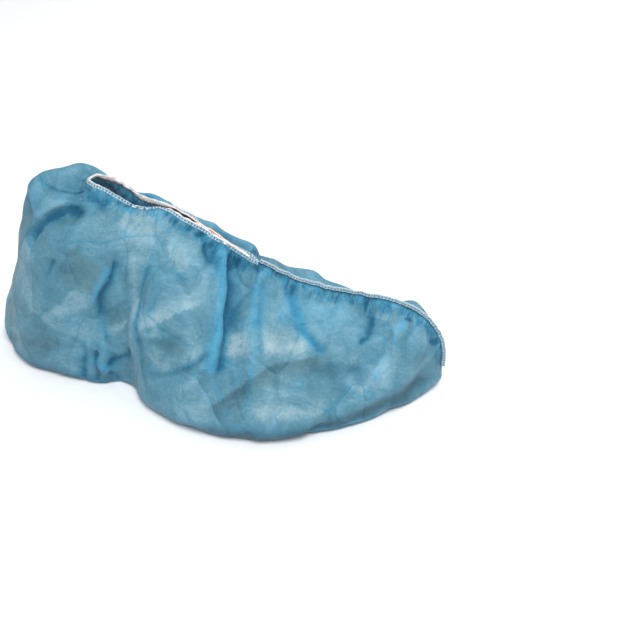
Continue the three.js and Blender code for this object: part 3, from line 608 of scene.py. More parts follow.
# ---- stage ----------------------------------------------------------------------------------------------
class OVERSHOE_OT_stage(bpy.types.Operator):
    """Adds the camera, a plain pale floor and soft studio lights"""

    bl_idname = "overshoe.stage"
    bl_label = "Stage"

    def execute(self, context):
        settings = context.scene.overshoe_stage
        self.add_camera(context.scene, settings)
        self.add_floor(context.scene, settings)
        self.add_lights(context.scene)
        return {"FINISHED"}

    def add_camera(self, scene, settings):
        across = math.cos(settings.elevation)
        back = Vector((
            math.sin(settings.azimuth) * across,
            -math.cos(settings.azimuth) * across,
            math.sin(settings.elevation),
        ))
        data = bpy.data.cameras.new("camera")
        data.sensor_width = 36
        data.lens = settings.lens
        data.clip_start = 0.01
        camera = bpy.data.objects.new("camera", data)
        camera.location = Vector(settings.look_at) + settings.distance * back
        camera.rotation_euler = back.to_track_quat("Z", "Y").to_euler()
        scene.collection.objects.link(camera)
        scene.camera = camera

    def add_floor(self, scene, settings):
        bm = bmesh.new()
        bmesh.ops.create_grid(bm, x_segments=1, y_segments=1, size=3.0)
        mesh = bpy.data.meshes.new("floor")
        bm.to_mesh(mesh)
        bm.free()
        mesh.materials.append(painted_floor(settings))
        floor = bpy.data.objects.new("floor", mesh)
        scene.collection.objects.link(floor)

    def add_lights(self, scene):
        world = bpy.data.worlds.new("studio")
        world.use_nodes = True
        world.node_tree.nodes["Background"].inputs["Color"].default_value = (1.0, 1.0, 1.0, 1.0)
        world.node_tree.nodes["Background"].inputs["Strength"].default_value = 0.58
        scene.world = world
        scene.view_settings.view_transform = "Standard"
        lights = (
            ("key_light", (0.3, -0.7, 1.25), 0.6, 17.0),
            ("back_light", (0.5, 0.8, 1.1), 0.8, 7.0),
        )
        for name, place, size, power in lights:
            data = bpy.data.lights.new(name, "AREA")
            data.size = size
            data.energy = power
            light = bpy.data.objects.new(name, data)
            light.location = place
            light.rotation_euler = Vector(place).to_track_quat("Z", "Y").to_euler()
            scene.collection.objects.link(light)


# ---- geometry helpers -----------------------------------------------------------------------------------
def in_frame(places):
    """Places given in millimetres from the sole's heel end and the middle of the opening, in the frame."""
    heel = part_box("cover_shell")[0][0] + HEEL_SWELL * MM
    low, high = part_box("opening_elastic")
    return np.array(places, dtype=float) * MM + np.array((heel, (low[1] + high[1]) / 2, 0.0))


def smoothstep(low, high, value):
    """0 below low, 1 above high, and a smooth rise between them."""
    t = np.clip((value - low) / (high - low), 0.0, 1.0)
    return t * t * (3 - 2 * t)


def unit(vectors):
    """The vectors at length 1."""
    return vectors / np.maximum(np.linalg.norm(vectors, axis=-1, keepdims=True), 1e-9)


def noise_at(points, wavelength, offset):
    """Smooth noise, about -1 to 1, at each point."""
    shift = Vector((offset, 2.7 * offset, -1.3 * offset))
    return np.array([noise.noise(Vector(p) / wavelength + shift) for p in points])


def coordinates(bm):
    """The places and the normals of a bmesh's vertices."""
    bm.normal_update()
    return np.array([v.co[:] for v in bm.verts]), np.array([v.normal[:] for v in bm.verts])


def outer_skin(node):
    """The outer face of the fabric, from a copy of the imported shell: its corners are merged, the inner wall
    is left behind at the sharp edge of the opening, and the triangles are joined to quads again."""
    rim_angle = math.radians(50)
    bm = bmesh.new()
    bm.from_mesh(node.data)
    bmesh.ops.remove_doubles(bm, verts=bm.verts, dist=0.02 * MM)
    bm.normal_update()
    middles = [(face.calc_center_median(), face) for face in bm.faces]
    sole = min(middles, key=lambda m: m[0].z)[1]
    sides = [pick(middles, key=lambda m: m[0].y)[1] for pick in (min, max)]
    reached = {sole, *sides}
    waiting = list(reached)
    while waiting:
        for edge in waiting.pop().edges:
            if edge.calc_face_angle_signed() > rim_angle:
                continue
            for face in edge.link_faces:
                if face not in reached:
                    reached.add(face)
                    waiting.append(face)
    bmesh.ops.delete(bm, geom=[f for f in bm.faces if f not in reached], context="FACES")
    bmesh.ops.join_triangles(bm, faces=bm.faces, angle_face_threshold=math.pi, angle_shape_threshold=math.pi)
    return bm


def subdivided(bm, levels):
    """The bmesh after a Subdivision Surface modifier."""
    mesh = bpy.data.meshes.new("cage")
    bm.to_mesh(mesh)
    bm.free()
    cage = bpy.data.objects.new("cage", mesh)
    bpy.context.scene.collection.objects.link(cage)
    modifier = cage.modifiers.new("Smooth", "SUBSURF")
    modifier.levels = levels
    modifier.render_levels = levels
    bpy.context.view_layer.update()
    result = bmesh.new()
    result.from_mesh(cage.evaluated_get(bpy.context.evaluated_depsgraph_get()).to_mesh())
    bpy.data.objects.remove(cage)
    bpy.data.meshes.remove(mesh)
    return result


def opening_loop(bm):
    """The vertices round the opening's edge, in order, from its rear tip along the outer side."""
    start = min((v for v in bm.verts if v.is_boundary), key=lambda v: v.co.x)
    ahead = [e.other_vert(start) for e in start.link_edges if e.is_boundary]
    loop = [start, min(ahead, key=lambda v: v.co.y)]
    while loop[-1] is not start:
        before, here = loop[-2:]
        beside = [e.other_vert(here) for e in here.link_edges if e.is_boundary]
        loop.append(next(v for v in beside if v is not before))
    return loop[:-1]


def seam_chain(bm):
    """The vertices along the ridge over the toes, from the front end of the opening down to the toe."""
    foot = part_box("toe_seam")[0][2]
    here = max((v for v in bm.verts if v.is_boundary), key=lambda v: v.co.x)
    chain = [here]
    heading = Vector((1, 0, -0.4)).normalized()
    while here.co.z > foot + 0.8 * MM and len(chain) < 200:
        ahead = [e.other_vert(here) for e in here.link_edges if not e.is_boundary]
        here = max(ahead, key=lambda v: (v.co - chain[-1].co).normalized().dot(heading))
        heading = (here.co - chain[-1].co).normalized()
        chain.append(here)
    return chain


def route_distances(points, route):
    """For each point: its distance to a route of straight stretches, the share of the route's length that it
    is level with, and the stretch."""
    best = np.full(len(points), np.inf)
    share = np.zeros(len(points))
    stretch = np.zeros(len(points), dtype=int)
    lengths = np.linalg.norm(np.diff(route, axis=0), axis=1)
    for i, length in enumerate(lengths):
        a, b = route[i], route[i + 1]
        t = np.clip((points - a) @ (b - a) / length**2, 0.0, 1.0)
        gap = np.linalg.norm(points - a - t[:, None] * (b - a), axis=1)
        nearer = gap < best
        best[nearer] = gap[nearer]
        share[nearer] = ((lengths[:i].sum() + t * length) / lengths.sum())[nearer]
        stretch[nearer] = i
    return best, share, stretch


def fold_weights(points, normals, tree, fold):
    """How strongly a fold acts on each point: 1 on its route, falling off to its right and left, towards its
    ends, and where the fabric faces another way."""
    end_share = 0.14  # the share of its length over which each end fades
    route = in_frame(fold["route"])
    gap, share, stretch = route_distances(points, route)
    facing = np.array([normals[tree.find(place)[1]] for place in route])
    facing = unit(facing[:-1] + facing[1:])[stretch]
    right = np.cross(np.diff(route, axis=0)[stretch], facing)
    from_route = points - (route[:-1] + route[1:])[stretch] / 2
    on_right = np.einsum("ij,ij->i", from_route, right) > 0
    width = np.where(on_right, fold["right"], fold["left"]) * MM
    ends = np.clip(np.minimum(share, 1 - share) / end_share, 0, 1)
    return (
        np.exp(-((gap / width) ** fold["point"]))
        * smoothstep(0.0, 1.0, 0.25 + 0.75 * ends)
        * smoothstep(0.1, 0.5, np.einsum("ij,ij->i", normals, facing))
    )


# ---- cover shell ----------------------------------------------------------------------------------------
class Skin:
    """The fabric's smooth outer face: its points, their normals, a tree of them, and where each point lies
    from the top line, which is the edge of the opening and the ridge of the toe seam. gap is its distance to
    the line, along its place along the line's part, and at_seam whether that part is the seam."""

    def __init__(self, bm):
        self.points, self.normals = coordinates(bm)
        self.tree = vertex_tree(self.points)
        self.seam = seam_chain(bm)
        rim = np.array([v.co[:] for v in opening_loop(bm)])
        seam = np.array([v.co[:] for v in self.seam])
        rim_gap, rim_share, _ = route_distances(self.points, rim)
        seam_gap, seam_share, _ = route_distances(self.points, seam)
        self.rim_length, self.seam_length = (
            np.linalg.norm(np.diff(line, axis=0), axis=1).sum() for line in (rim, seam)
        )
        self.gap = np.minimum(rim_gap, seam_gap)
        self.at_seam = seam_gap < rim_gap
        self.along = np.where(self.at_seam, seam_share * self.seam_length, rim_share * self.rim_length)


def neighbour_mean(bm, values, times):
    """The values on the vertices, averaged with their neighbours a few times over."""
    ends = np.array([[v.index for v in edge.verts] for edge in bm.edges])
    count = np.bincount(ends.ravel(), minlength=len(values))
    for _ in range(times):
        total = np.zeros(len(values))
        np.add.at(total, ends[:, 0], values[ends[:, 1]])
        np.add.at(total, ends[:, 1], values[ends[:, 0]])
        values = 0.5 * values + 0.5 * total / np.maximum(count, 1)
    return values


def gathers(along, gap, length, spacing, reach, generator):
    """Small pleats that start at the top line and die out below it, as heights of about -1 to 1."""
    height = np.zeros(len(along))
    place = 0.0
    while place < length:
        lean = generator.uniform(-0.25, 0.25)
        width = spacing * generator.uniform(0.25, 0.45)
        down = reach * generator.uniform(0.45, 1.5)
        rise = generator.uniform(0.5, 1.0) * (1 if generator.random() < 0.62 else -1)
        profile = np.exp(-((np.abs(along - place - lean * gap) / width) ** 1.5))
        height += rise * profile * np.exp(-((gap / down) ** 1.6))
        place += spacing * generator.uniform(0.55, 1.35)
    return height


def crumples(points, normals, tree, free, generator):
    """Short creases, scattered over the fabric, as heights of about -1 to 1."""
    count, stretches = 110, 3
    height = np.zeros(len(points))
    starts = [i for i in range(len(points)) if free[i] > 0.5]
    for _ in range(count):
        here = generator.choice(starts)
        turn = generator.gauss(0.0, 0.7)
        side = unit(np.cross((0.0, 0.0, 1.0), normals[here]) + 1e-6)
        heading = math.cos(turn) * np.cross(normals[here], side) + math.sin(turn) * side
        step = generator.uniform(5, 15) * MM
        route = [points[here]]
        for _ in range(stretches):
            _, here, _ = tree.find(route[-1] + step * heading)
            side = np.cross(heading, normals[here])
            heading = unit(np.cross(normals[here], side) + generator.gauss(0, 0.22) * side)
            route.append(points[here])
        width = generator.uniform(2.0, 4.5) * MM
        rise = generator.uniform(0.35, 1.0) * (1 if generator.random() < 0.5 else -1)
        near = np.linalg.norm(points - route[1], axis=1) < stretches * step + 4 * width
        gap, share, _ = route_distances(points[near], np.array(route))
        facing = smoothstep(0.0, 0.5, normals[near] @ normals[here])
        height[near] += rise * np.exp(-((gap / width) ** 1.4)) * np.sin(math.pi * share) * facing
    return height


def facets(points, generator):
    """Flat patches that meet at crisp creases, as in cloth that was packed flat and opened out, as heights of
    about -1 to 1."""
    height = np.zeros(len(points))
    wavelengths = (52 * MM, 41 * MM, 33 * MM, 25 * MM, 19 * MM)
    for number, wavelength in enumerate(wavelengths):
        heading = unit(np.array([generator.gauss(0, 1) for _ in range(3)]))
        warp = 0.3 * noise_at(points, 1.3 * wavelength, 11 + number)
        turns = points @ heading / wavelength + warp + generator.random()
        fading = smoothstep(-0.3, 0.3, noise_at(points, 45 * MM, 21 + number))
        height += (4 * np.abs(turns % 1 - 0.5) - 1) * fading * wavelength / wavelengths[0]
    return height / 2


class OVERSHOE_OT_cover_shell(bpy.types.Operator):
    """Adds the creased fabric shell of the cover"""

    bl_idname = "overshoe.cover_shell"
    bl_label = "Cover shell"

    def execute(self, context):
        settings = context.scene.overshoe_fabric
        smooth = subdivided(outer_skin(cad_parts["cover_shell"]), 1)
        loose = smooth.copy()
        self.settle(loose, settings)
        smooth = subdivided(smooth, 1)
        loose = subdivided(loose, 1)
        skin = Skin(smooth)
        tone, blue = self.crease(smooth, skin, loose, settings)
        self.paint(loose, tone, blue)
        self.number_seam(loose, skin)
        self.place_puckers(loose, skin)
        smooth.free()
        material = spunbond_polypropylene(settings)
        piece = finish_piece("cover_fabric", loose, material, "cover_shell")
        wall = piece.modifiers.new("Fabric", "SOLIDIFY")
        wall.thickness = settings.thickness
        wall.offset = -1.0
        return {"FINISHED"}

    def settle(self, bm, settings):
        """Cloth simulation: the fabric is cut larger than the space between the sole and the drawn-in top
        line, so it buckles. Its sole and its top line are held."""
        scene = bpy.context.scene
        least_half_width = 4  # mm that the folds have at least here, where the mesh is coarse
        skin = Skin(bm)
        points, normals, gap = skin.points, skin.normals, skin.gap
        push = settings.undulation * noise_at(points, 24 * MM, 4)
        for fold in FOLDS:
            widths = {side: max(fold[side], least_half_width) for side in ("right", "left")}
            push += 0.5 * fold["rise"] * MM * fold_weights(points, normals, skin.tree, fold | widths)
        push *= smoothstep(1 * MM, 6 * MM, gap) * smoothstep(1 * MM, 8 * MM, points[:, 2])
        move_vertices(bm, points + push[:, None] * normals)

        mesh = bpy.data.meshes.new("loose_fabric")
        bm.to_mesh(mesh)
        loose = bpy.data.objects.new("loose_fabric", mesh)
        scene.collection.objects.link(loose)
        held = loose.vertex_groups.new(name="held")
        fixed = (points[:, 2] < 0.5 * MM) | (gap < 1.2 * MM)
        held.add(np.flatnonzero(fixed).tolist(), 1.0, "REPLACE")
        spare = loose.vertex_groups.new(name="spare")
        for i, distance in enumerate(gap):
            spare.add([i], math.exp(-((distance / (22 * MM)) ** 1.5)), "REPLACE")

        modifier = loose.modifiers.new("Cloth", "CLOTH")
        cloth = modifier.settings
        cloth.quality = 5
        cloth.mass = 0.02
        cloth.tension_stiffness = cloth.compression_stiffness = 40
        cloth.shear_stiffness = 20
        cloth.bending_stiffness = CLOTH_BENDING
        cloth.tension_damping = cloth.compression_damping = cloth.shear_damping = 5
        cloth.vertex_group_mass = "held"
        cloth.pin_stiffness = 5
        cloth.vertex_group_shrink = "spare"
        cloth.shrink_min, cloth.shrink_max = CLOTH_SPARE
        cloth.effector_weights.gravity = 0
        modifier.collision_settings.use_collision = False
        modifier.point_cache.frame_end = CLOTH_FRAMES
        for number in range(1, CLOTH_FRAMES + 1):
            scene.frame_set(number)
        result = loose.evaluated_get(bpy.context.evaluated_depsgraph_get()).to_mesh()
        settled = np.array([v.co[:] for v in result.vertices])
        scene.frame_set(1)
        bpy.data.objects.remove(loose)
        bpy.data.meshes.remove(mesh)

        drift = settled - points
        length = np.linalg.norm(drift, axis=1, keepdims=True)
        move_vertices(bm, points + drift * np.minimum(1, CLOTH_DRIFT * MM / np.maximum(length, 1e-9)))

    def crease(self, smooth, skin, loose, settings):
        """Moves the loose fabric's vertices into folds, gathers and creases, which are worked out on the
        smooth skin. Gives back the tone, which is painted light and shade along the folds and over the areas,
        and the blueness that the folds and areas lend the fabric."""
        points, normals, gap = skin.points, skin.normals, skin.gap
        settled, directions = coordinates(loose)
        generator = random.Random(SEED)
        least_push, most_push = -9 * MM, 6 * MM

        wobble = np.stack([noise_at(points, 14 * MM, k) for k in (1, 2, 3)], axis=1)
        wobbled = points + 1.3 * MM * wobble  # so that no fold runs straight
        push = np.zeros(len(points))
        tone = np.zeros(len(points))
        blue = np.zeros(len(points))
        # the tone: painted shade in the grooves and painted highlights on the crests, kept to the folds'
        # cores, and the areas' painted light and shade
        for fold in FOLDS + LIGHT_AND_SHADE_AREAS:
            weight = fold_weights(wobbled, normals, skin.tree, fold)
            push += 0.75 * fold.get("rise", 0) * MM * weight
            core = weight**1.6 if "rise" in fold else weight
            tone += 1.4 * fold["tone"] * core
            blue += 1.1 * fold["blue"] * core

        free = smoothstep(1.0 * MM, 9 * MM, gap)  # the stitched edge holds the fabric
        walls = 0.25 + 0.75 * smoothstep(-0.95, -0.6, normals[:, 2])  # and the sole lies flat
        waves = noise_at(points, 34 * MM, 4) + 0.5 * noise_at(points, 17 * MM, 5)
        push += 0.7 * settings.undulation * waves
        push += settings.crumple * crumples(points, normals, skin.tree, free * walls, generator)
        push += settings.facet * facets(points, generator)
        push *= free * walls
        push += settings.gather * self.all_gathers(skin, generator)
        push = neighbour_mean(smooth, push, 1)
        lowest = least_push * smoothstep(2.5 * MM, 10 * MM, gap)  # the lip leaves room for the elastic
        push = np.clip(push, lowest, most_push)

        moved = settled + push[:, None] * directions
        self.pinch(moved, skin)
        moved[:, 2] = np.maximum(moved[:, 2], 0.0)
        move_vertices(loose, moved)
        return tone, blue

    def all_gathers(self, skin, generator):
        """The fine and the coarse gathers of each side of the opening and of the toe seam, as heights."""
        spacing, reach = 4.6 * MM, 9 * MM
        calm_before = in_frame((122, 0, 0))[0]  # behind here the opening's outer side is drawn in less
        height = np.zeros(len(skin.points))
        for seam, length in ((False, skin.rim_length), (True, skin.seam_length)):
            for inner in (False, True):
                mine = (skin.at_seam == seam) & ((skin.normals[:, 1] > 0) == inner)
                fine = gathers(skin.along, skin.gap, length, spacing, reach, generator)
                coarse = gathers(skin.along, skin.gap, length, 2.6 * spacing, 2.4 * reach, generator)
                height[mine] += (fine + 0.9 * coarse)[mine]
        calm = ~skin.at_seam & (skin.normals[:, 1] < 0) & (skin.points[:, 0] < calm_before)
        strength = np.where(calm, 0.5, 1.0) * (0.4 + 0.6 * smoothstep(0, 2.5 * MM, skin.gap))
        return height * strength

    def pinch(self, moved, skin):
        """Draws the places of the opening's edge together, and sinks, lifts and fills the fabric by it."""
        edge_width = 7 * MM
        bulge_middle, bulge_width = 8 * MM, 5 * MM
        centre = in_frame((0, 0, 0))
        from_heel = (skin.points[:, 0] - centre[0]) / MM
        stops = [row["along"] for row in PINCH]
        share, sink, bulge, lift = (
            np.interp(from_heel, stops, [row[column] for row in PINCH])
            for column in ("share", "sink", "bulge", "lift")
        )
        outer = skin.points[:, 1] < centre[1]
        near_edge = np.exp(-((skin.gap / edge_width) ** 2)) * ~skin.at_seam
        below_edge = np.exp(-(((skin.gap - bulge_middle) / bulge_width) ** 2)) * ~skin.at_seam
        moved[:, 1] -= near_edge * share * (moved[:, 1] - centre[1])
        moved[:, 2] += near_edge * MM * (lift - sink * outer) + below_edge * MM * bulge * outer

    def number_seam(self, bm, skin):
        """Stores each vertex's place in the row along the toe seam, or -1 off it."""
        order = {vertex.index: place for place, vertex in enumerate(skin.seam)}
        layer = bm.verts.layers.int.new("seam_order")
        for vertex in bm.verts:
            vertex[layer] = order.get(vertex.index, -1)

    def place_puckers(self, bm, skin):
        """Stores where the puckers' pattern is read for each vertex: its distance along the top line from the
        opening's front end, its distance down from the line, and which way it faces across the foot."""
        side_shift = 0.02  # how far the pattern of one side lies from the other's
        from_front = np.where(skin.at_seam, -skin.along, np.abs(skin.along - skin.rim_length / 2))
        layer = bm.verts.layers.float_vector.new("pucker_place")
        for vertex, place in zip(bm.verts, zip(from_front, skin.gap, side_shift * skin.normals[:, 1])):
            vertex[layer] = place

    def paint(self, bm, tone, blue):
        """Paints shade into the fabric's hollows and highlights onto its crests, makes both bluer, and stores
        the tone and the blueness on the vertices for the material."""
        bm.normal_update()
        bend = np.zeros(len(bm.verts))
        for i, vertex in enumerate(bm.verts):
            around = [e.other_vert(vertex).co for e in vertex.link_edges]
            offset = sum(around, Vector()) / len(around) - vertex.co
            spread = sum((p - vertex.co).length for p in around) / len(around)
            bend[i] = offset.dot(vertex.normal) / spread
        hollow = np.clip(neighbour_mean(bm, bend, 1) * 4.5, -1, 1)
        # painted shade in the hollows and painted highlights on the crests
        tone = tone - 0.75 * np.maximum(hollow, 0) + 0.35 * np.maximum(-hollow, 0)
        blue = 0.2 + blue + 0.9 * np.abs(hollow)
        for name, values in (("tone", np.clip(tone, -1, 1)), ("blue", np.clip(blue, 0, 1))):
            layer = bm.verts.layers.float.new(name)
            for vertex, value in zip(bm.verts, values):
                vertex[layer] = value


def vertex_tree(points):
    """A tree that finds the vertex nearest to a place."""
    tree = KDTree(len(points))
    for i, point in enumerate(points):
        tree.insert(point, i)
    tree.balance()
    return tree


def move_vertices(bm, places):
    """Puts a bmesh's vertices at the places."""
    for vertex, place in zip(bm.verts, places):
        vertex.co = place


def finish_piece(name, bm, material, node):
    """Turns a bmesh into a smooth-shaded piece that rides on the cover's body and stands for a node."""
    mesh = bpy.data.meshes.new(name)
    bm.to_mesh(mesh)
    bm.free()
    mesh.materials.append(material)
    mesh.polygons.foreach_set("use_smooth", [True] * len(mesh.polygons))
    piece = bpy.data.objects.new(name, mesh)
    bpy.context.scene.collection.objects.link(piece)
    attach(piece, BODY)
    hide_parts(node)
    return piece


# ---- edges of the fabric --------------------------------------------------------------------------------
def blurred(values, stops, closed):
    """The values along a line, averaged over some stops on either side."""
    padded = np.pad(values, ((stops, stops), (0, 0)), mode="wrap" if closed else "edge")
    return np.mean([padded[i : i + len(values)] for i in range(2 * stops + 1)], axis=0)


def resampled(at, stops, values, period=None):
    """The rows of values, given at the stops along a line, at other places along it."""
    return np.stack([np.interp(at, stops, column, period=period) for column in values.T], axis=1)


class FabricEdge:
    """Evenly spaced stops along an edge of the fabric. Each has its place, the way up out of the fabric's
    edge, and the way out of its face."""

    def __init__(self, chain, closed, spacing=0.3 * MM, blur=0):
        members = set(chain)
        places = np.array([v.co[:] for v in chain])
        below = []
        for vertex in chain:
            beside = [v.co for e in vertex.link_edges if (v := e.other_vert(vertex)) not in members]
            middle = sum(beside, Vector()) / len(beside) if beside else vertex.co - Vector((0, 0, MM))
            below.append(middle[:])
        ups = unit(places - np.array(below))
        if closed:
            places = np.concatenate((places, places[:1]))
            ups = np.concatenate((ups, ups[:1]))
        reach = np.concatenate(([0], np.cumsum(np.linalg.norm(np.diff(places, axis=0), axis=1))))
        self.closed = closed
        self.length = reach[-1]
        self.at = np.linspace(0, self.length, round(self.length / spacing), endpoint=not closed)
        self.place = resampled(self.at, reach, places)
        up = resampled(self.at, reach, ups)
        if blur:
            self.place = blurred(self.place, blur, closed)
        if closed:
            along = np.roll(self.place, -3, axis=0) - np.roll(self.place, 3, axis=0)
        else:
            along = np.gradient(self.place, axis=0)
        along = unit(blurred(along, 5, closed))
        up = unit(blurred(up, 6, closed))
        if not closed:  # the seam stands upright
            up = np.cross((0.0, -1.0, 0.0), along)
        self.out = unit(np.cross(along, up))
        self.up = np.cross(self.out, along)

    def spots(self, at, down, out):
        """Places at distances along the edge, each so far down the fabric from its edge and out of its
        face."""
        period = self.length if self.closed else None
        place, up, outward = (resampled(at, self.at, v, period) for v in (self.place, self.up, self.out))
        return place - np.asarray(down)[:, None] * up + np.asarray(out)[:, None] * outward


def overlock(edge, settings, front, back, generator):
    """The threads of an overlocked edge, as lists of places: a looper thread that winds over the edge from
    face to face, a needle thread along each face, and two threads that chain along the edge itself. front and
    back are how far the faces lie from the edge's line."""
    count = round(edge.length / settings.pitch)
    pitch = edge.length / count
    stitches = np.arange(count)
    # where a stitch goes, as shares of the pitch along, of the reach down, and of the way from back to front
    turns = (
        (0.0, 1.0, 1.0), (0.1, 0.55, 1.06), (0.2, 0.05, 0.9), (0.27, -0.12, 0.5), (0.34, 0.05, 0.1),
        (0.42, 0.55, -0.06), (0.5, 1.0, 0.0), (0.58, 0.55, -0.06), (0.66, 0.05, 0.1), (0.73, -0.12, 0.5),
        (0.8, 0.05, 0.9), (0.9, 0.55, 1.06),
    )
    # no two stitches are alike: each has its own reach and its own slip along the edge
    reach = np.array([settings.reach * generator.uniform(0.7, 1.3) for _ in stitches])
    slip = np.array([generator.uniform(-0.18, 0.18) for _ in stitches])
    at = np.array([[(k + slip[k] + turn[0]) * pitch for turn in turns] for k in stitches])
    down = np.array([[reach[k] * turn[1] for turn in turns] for k in stitches])
    out = np.array([[front * turn[2] - back * (1 - turn[2]) for turn in turns] for _ in stitches])
    threads = [edge.spots(at.ravel(), down.ravel(), out.ravel())]

    fine = np.linspace(0, edge.length, 10 * count, endpoint=not edge.closed)
    phase = 2 * math.pi * fine / pitch
    needle_down = settings.reach * (0.9 + 0.05 * np.cos(phase))
    threads.append(edge.spots(fine, needle_down, front + 0.12 * MM * np.cos(phase)))
    threads.append(edge.spots(fine, needle_down, 0 * fine - back))
    middle, chain_width = (front - back) / 2, 0.42 * (front + back)
    for turn in (0, math.pi):
        chain_down = -0.1 * settings.reach - 0.18 * MM * np.sin(phase + turn)
        threads.append(edge.spots(fine, chain_down, middle + chain_width * np.cos(phase + turn)))
    return threads


def thread_mesh(threads, closed, radius):
    """A bmesh of round threads along lists of places."""
    curve = bpy.data.curves.new("threads", "CURVE")
    curve.dimensions = "3D"
    curve.bevel_depth = radius
    curve.bevel_resolution = 1
    curve.resolution_u = 2
    curve.use_fill_caps = True
    for places in threads:
        spline = curve.splines.new("NURBS")
        spline.points.add(len(places) - 1)
        spline.points.foreach_set("co", np.append(places, np.ones((len(places), 1)), axis=1).ravel())
        spline.order_u = 3
        spline.use_cyclic_u = closed
        spline.use_endpoint_u = not closed
    strand = bpy.data.objects.new("threads", curve)
    bpy.context.scene.collection.objects.link(strand)
    bpy.context.view_layer.update()
    bm = bmesh.new()
    bm.from_mesh(strand.evaluated_get(bpy.context.evaluated_depsgraph_get()).to_mesh())
    bpy.data.objects.remove(strand)
    bpy.data.curves.remove(curve)
    return bm


def ribbon(low, high, closed):
    """A bmesh of one band of faces between two lines of places."""
    bm = bmesh.new()
    corners = [bm.verts.new(place) for place in low]
    edges = [bm.edges.new(pair) for pair in zip(corners, corners[1:] + corners[:1])]
    if not closed:
        bm.edges.remove(edges.pop())
    raised = bmesh.ops.extrude_edge_only(bm, edges=edges)["geom"]
    tops = {v for v in raised if isinstance(v, bmesh.types.BMVert)}
    for corner, place in zip(corners, high):
        next(v for e in corner.link_edges if (v := e.other_vert(corner)) in tops).co = place
    bmesh.ops.recalc_face_normals(bm, faces=bm.faces)
    return bm


def fabric_bmesh():
    """The finished outer face of the fabric."""
    bm = bmesh.new()
    bm.from_mesh(bpy.data.objects["cover_fabric"].data)
    return bm


# ---- opening and toe seam -------------------------------------------------------------------------------
class OVERSHOE_OT_opening_elastic(bpy.types.Operator):
    """Adds the flat elastic that is sewn inside the opening's lip"""

    bl_idname = "overshoe.opening_elastic"
    bl_label = "Opening elastic"

    def execute(self, context):
        settings = context.scene.overshoe_elastic
        bm = fabric_bmesh()
        edge = FabricEdge(opening_loop(bm), closed=True, spacing=0.9 * MM, blur=2)
        inset = elastic_inset(context.scene)
        # in front, where the lips meet, the elastic turns round where there is still room between them
        half_width = np.abs(edge.place[:, 1] - in_frame((0, 0, 0))[1])
        rear = edge.place[:, 0] < edge.place[:, 0].mean()
        stops = edge.at[(half_width > inset + 0.45 * MM) | rear]
        ripple = 0.3 * MM * np.sin(2 * math.pi * stops / (7 * MM))
        start, end = (in_frame((along, 0, 0))[0] for along in BUNCHED)
        x = edge.spots(stops, 0 * stops, 0 * stops)[:, 0]
        peek = 0.3 * MM + 0.8 * MM * smoothstep(start, end, x)  # it shows where it is bunched up
        top = edge.spots(stops, ripple - peek, 0 * stops - inset)
        foot = edge.spots(stops, settings.height + ripple, 0 * stops)
        fabric = BVHTree.FromBMesh(bm)
        for place in foot:
            spot, normal, _, _ = fabric.find_nearest(place)
            place[:] = spot - (inset + 0.1 * MM) * normal
        bm.free()
        strip = ribbon(foot, top, closed=True)
        piece = finish_piece("gathered_elastic", strip, cut_latex(settings), "opening_elastic")
        band = piece.modifiers.new("Band", "SOLIDIFY")
        band.thickness = settings.thickness
        band.offset = 0.0
        round_edges = piece.modifiers.new("Edges", "BEVEL")
        round_edges.width = 0.15 * MM
        round_edges.segments = 1
        return {"FINISHED"}


def elastic_inset(scene):
    """How far the middle of the elastic lies inside the fabric's outer face."""
    air = 0.15 * MM
    return scene.overshoe_fabric.thickness + air + scene.overshoe_elastic.thickness / 2


class OVERSHOE_OT_opening_edging(bpy.types.Operator):
    """Adds the overlock stitches that bind the elastic to the opening's edge"""

    bl_idname = "overshoe.opening_edging"
    bl_label = "Opening edging"

    def execute(self, context):
        settings = context.scene.overshoe_thread
        bm = fabric_bmesh()
        edge = FabricEdge(opening_loop(bm), closed=True)
        bm.free()
        back = elastic_inset(context.scene) + context.scene.overshoe_elastic.thickness / 2 + settings.radius
        threads = overlock(edge, settings, settings.radius, back, random.Random(SEED + 1))
        finish_piece(
            "opening_overlock",
            thread_mesh(threads, True, settings.radius),
            texturised_polyester(settings),
            "opening_edging",
        )
        return {"FINISHED"}


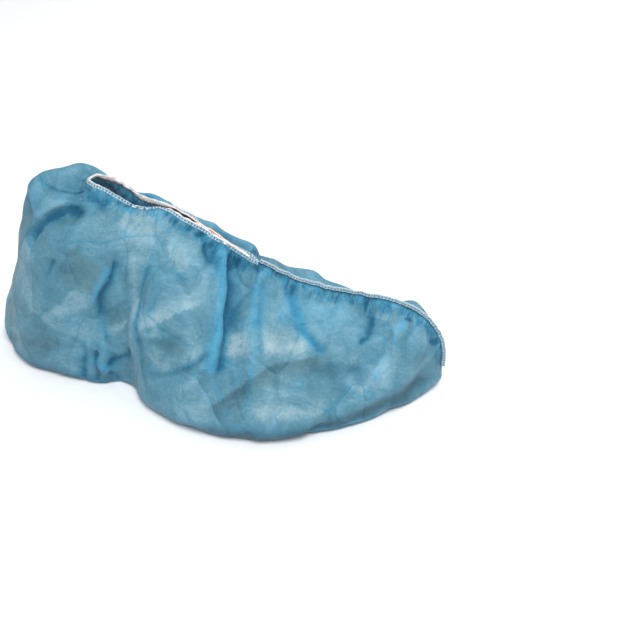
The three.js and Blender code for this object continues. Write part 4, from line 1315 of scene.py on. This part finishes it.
class OVERSHOE_OT_toe_seam(bpy.types.Operator):
    """Adds the raised seam over the toes: a ruffled strip of doubled fabric and the overlock that binds it"""

    bl_idname = "overshoe.toe_seam"
    bl_label = "Toe seam"

    def execute(self, context):
        settings = context.scene.overshoe_thread
        fabric = context.scene.overshoe_fabric
        bm = fabric_bmesh()
        order = bm.verts.layers.int["seam_order"]
        chain = sorted((v for v in bm.verts if v[order] >= 0), key=lambda v: v[order])
        ridge = FabricEdge(chain, closed=False, spacing=0.5 * MM, blur=2)
        bm.free()
        ruffle_length, sunk = 2.6 * MM, 0.3 * MM
        ruffle = 0.4 * MM * np.array([noise.noise(Vector((a / ruffle_length, 3.7, 0))) for a in ridge.at])
        foot = ridge.spots(ridge.at, 0 * ridge.at + sunk, 0.4 * ruffle)
        top = ridge.spots(ridge.at, 0.5 * ruffle - SEAM_HEIGHT * MM, 1.6 * ruffle)
        strip = finish_piece(
            "toe_seam_fabric",
            ribbon(foot, top, closed=False),
            bpy.data.materials["spunbond_polypropylene"],
            "toe_seam",
        )
        doubled = strip.modifiers.new("Doubled", "SOLIDIFY")
        doubled.thickness = 2.4 * fabric.thickness
        doubled.offset = 0.0
        ridge.place = top
        face = 1.2 * fabric.thickness + settings.radius
        threads = overlock(ridge, settings, face, face, random.Random(SEED + 2))
        finish_piece(
            "toe_seam_overlock",
            thread_mesh(threads, False, settings.radius),
            bpy.data.materials["texturised_polyester"],
            "toe_seam",
        )
        return {"FINISHED"}


# ---- registration ---------------------------------------------------------------------------------------
OPERATORS = (
    OVERSHOE_OT_stage,
    OVERSHOE_OT_cover_shell,
    OVERSHOE_OT_opening_elastic,
    OVERSHOE_OT_opening_edging,
    OVERSHOE_OT_toe_seam,
)
SETTINGS = {
    "overshoe_fabric": FabricSettings,
    "overshoe_thread": ThreadSettings,
    "overshoe_elastic": ElasticSettings,
    "overshoe_stage": StageSettings,
}


class OVERSHOE_PT_panel(bpy.types.Panel):
    """Lists the pieces of the overshoe cover"""

    bl_idname = "OVERSHOE_PT_panel"
    bl_label = "Overshoe Cover"
    bl_space_type = "VIEW_3D"
    bl_region_type = "UI"
    bl_category = "Overshoe"

    def draw(self, context):
        for operator in OPERATORS:
            self.layout.operator(operator.bl_idname)


CLASSES = (*SETTINGS.values(), *OPERATORS, OVERSHOE_PT_panel)


def register():
    for cls in CLASSES:
        bpy.utils.register_class(cls)
    for name, group in SETTINGS.items():
        setattr(bpy.types.Scene, name, PointerProperty(type=group))


def unregister():
    for name in SETTINGS:
        delattr(bpy.types.Scene, name)
    for cls in reversed(CLASSES):
        bpy.utils.unregister_class(cls)


def main():
    register()
    bpy.ops.overshoe.stage()
    bpy.ops.overshoe.cover_shell()
    bpy.ops.overshoe.opening_elastic()
    bpy.ops.overshoe.opening_edging()
    bpy.ops.overshoe.toe_seam()


if __name__ == "__main__":
    main()
